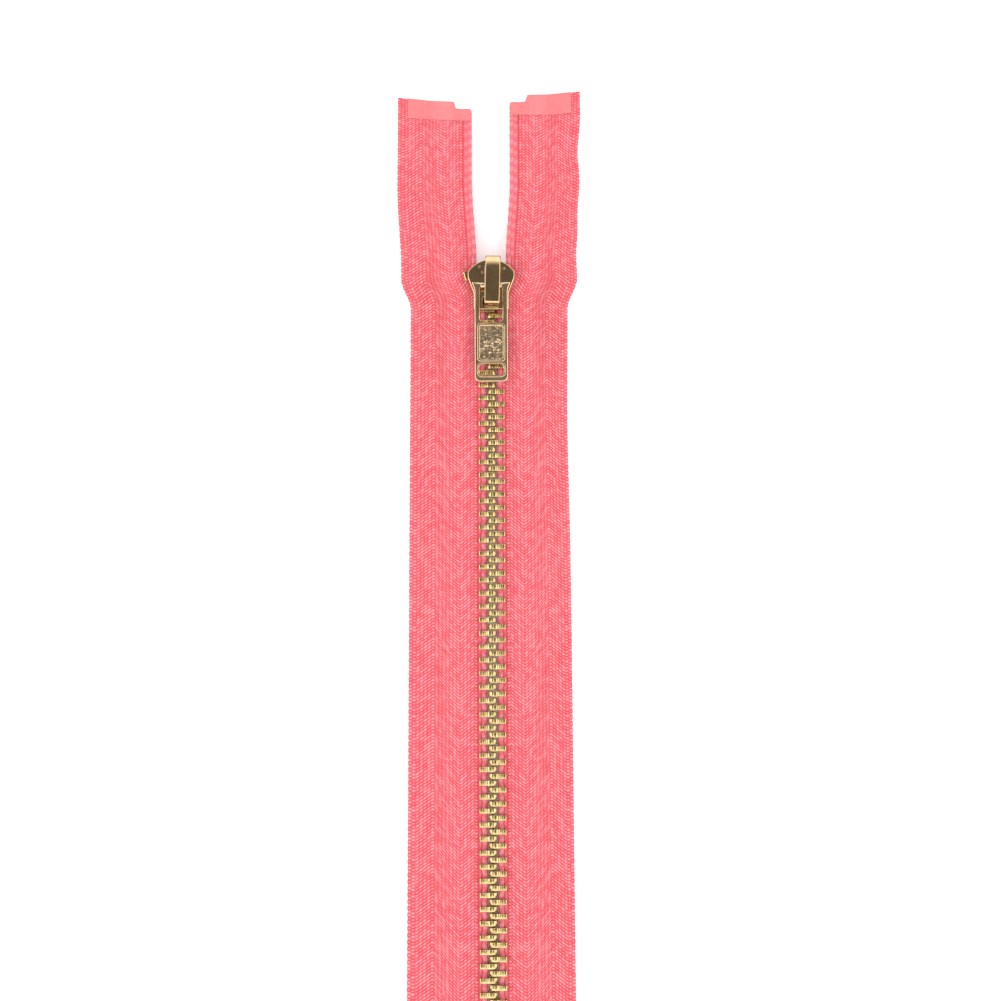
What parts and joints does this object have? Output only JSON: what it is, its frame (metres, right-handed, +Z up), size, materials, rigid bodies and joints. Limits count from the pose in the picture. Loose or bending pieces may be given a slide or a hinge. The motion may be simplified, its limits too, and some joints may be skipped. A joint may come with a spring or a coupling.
{
  "type": "zipper",
  "caption": "Separating metal zipper with woven tapes, clamped teeth, an auto-lock slider with a pull tab, and a retainer box and pin at the lower end.",
  "frame": {"origin": "on the resting plane, under the middle of the whole length and the centre line of the chain", "axes": "+Y runs up the zipper to its open top end, +X to the viewer's right across the tapes, +Z up out of the face with the pull tab"},
  "size_m": [0.0382, 0.238, 0.0085],
  "materials": {
    "tape": "matte woven polyester in a herringbone weave",
    "edge_cord": "matte woven cord",
    "teeth_brass": "bright brass, coined",
    "slider_gold": "pale gold plate, polished",
    "spring_steel": "spring steel, satin",
    "film": "thin heat-bonded film, ribbed"
  },
  "bodies": {
    "retainer": {"retainer_box": "slider_gold", "box_pin": "teeth_brass", "insertion_pin": "teeth_brass"},
    "left_stringer": {"left_tape": "tape", "left_edge_cord": "edge_cord", "left_teeth_1": "teeth_brass", "left_teeth_2": "teeth_brass", "left_teeth_3": "teeth_brass", "left_teeth_4": "teeth_brass", "left_top_stop": "teeth_brass", "left_top_film": "film", "left_end_film": "film"},
    "right_stringer": {"right_tape": "tape", "right_edge_cord": "edge_cord", "right_teeth_1": "teeth_brass", "right_teeth_2": "teeth_brass", "right_teeth_3": "teeth_brass", "right_teeth_4": "teeth_brass", "right_top_stop": "teeth_brass", "right_top_film": "film", "right_end_film": "film"},
    "slider": {"slider_body": "slider_gold", "slider_crown": "slider_gold"},
    "lock": {"lock_pawl": "spring_steel"},
    "pull": {"pull_tab": "slider_gold"}
  },
  "joints": [
    {"name": "slider_slide", "type": "slide", "parent": "retainer", "child": "slider", "axis": [0, -1, 0], "range_m": [0, 0.1797]},
    {"name": "left_stringer_spread", "type": "hinge", "parent": "retainer", "child": "left_stringer", "pos_m": [0, -0.1075, 0.0024], "axis": [0, 0, 1], "range_deg": [0, 10.05], "deforming": ["left_tape", "left_edge_cord", "left_teeth_1", "left_teeth_2", "left_teeth_3", "left_teeth_4", "left_end_film"]},
    {"name": "right_stringer_spread", "type": "hinge", "parent": "retainer", "child": "right_stringer", "pos_m": [0, -0.1075, 0.0024], "axis": [0, 0, -1], "range_deg": [0, 10.05], "deforming": ["right_tape", "right_edge_cord", "right_teeth_1", "right_teeth_2", "right_teeth_3", "right_teeth_4", "right_end_film"]},
    {"name": "pull_swing", "type": "hinge", "parent": "slider", "child": "pull", "pos_m": [0, 0.0751, 0.006], "axis": [-1, 0, 0], "range_deg": [0, 180]},
    {"name": "lock_lift", "type": "hinge", "parent": "slider", "child": "lock", "pos_m": [0, 0.07526, 0.007], "axis": [-1, 0, 0], "range_deg": [0, 6.5]}
  ],
  "couplings": [
    {"joint": "left_stringer_spread", "follows": "slider_slide", "rad_per_m": 0.9712},
    {"joint": "right_stringer_spread", "follows": "slider_slide", "rad_per_m": 0.9712},
    {"joint": "lock_lift", "follows": "pull_swing", "ratio": 0.036111}
  ]
}
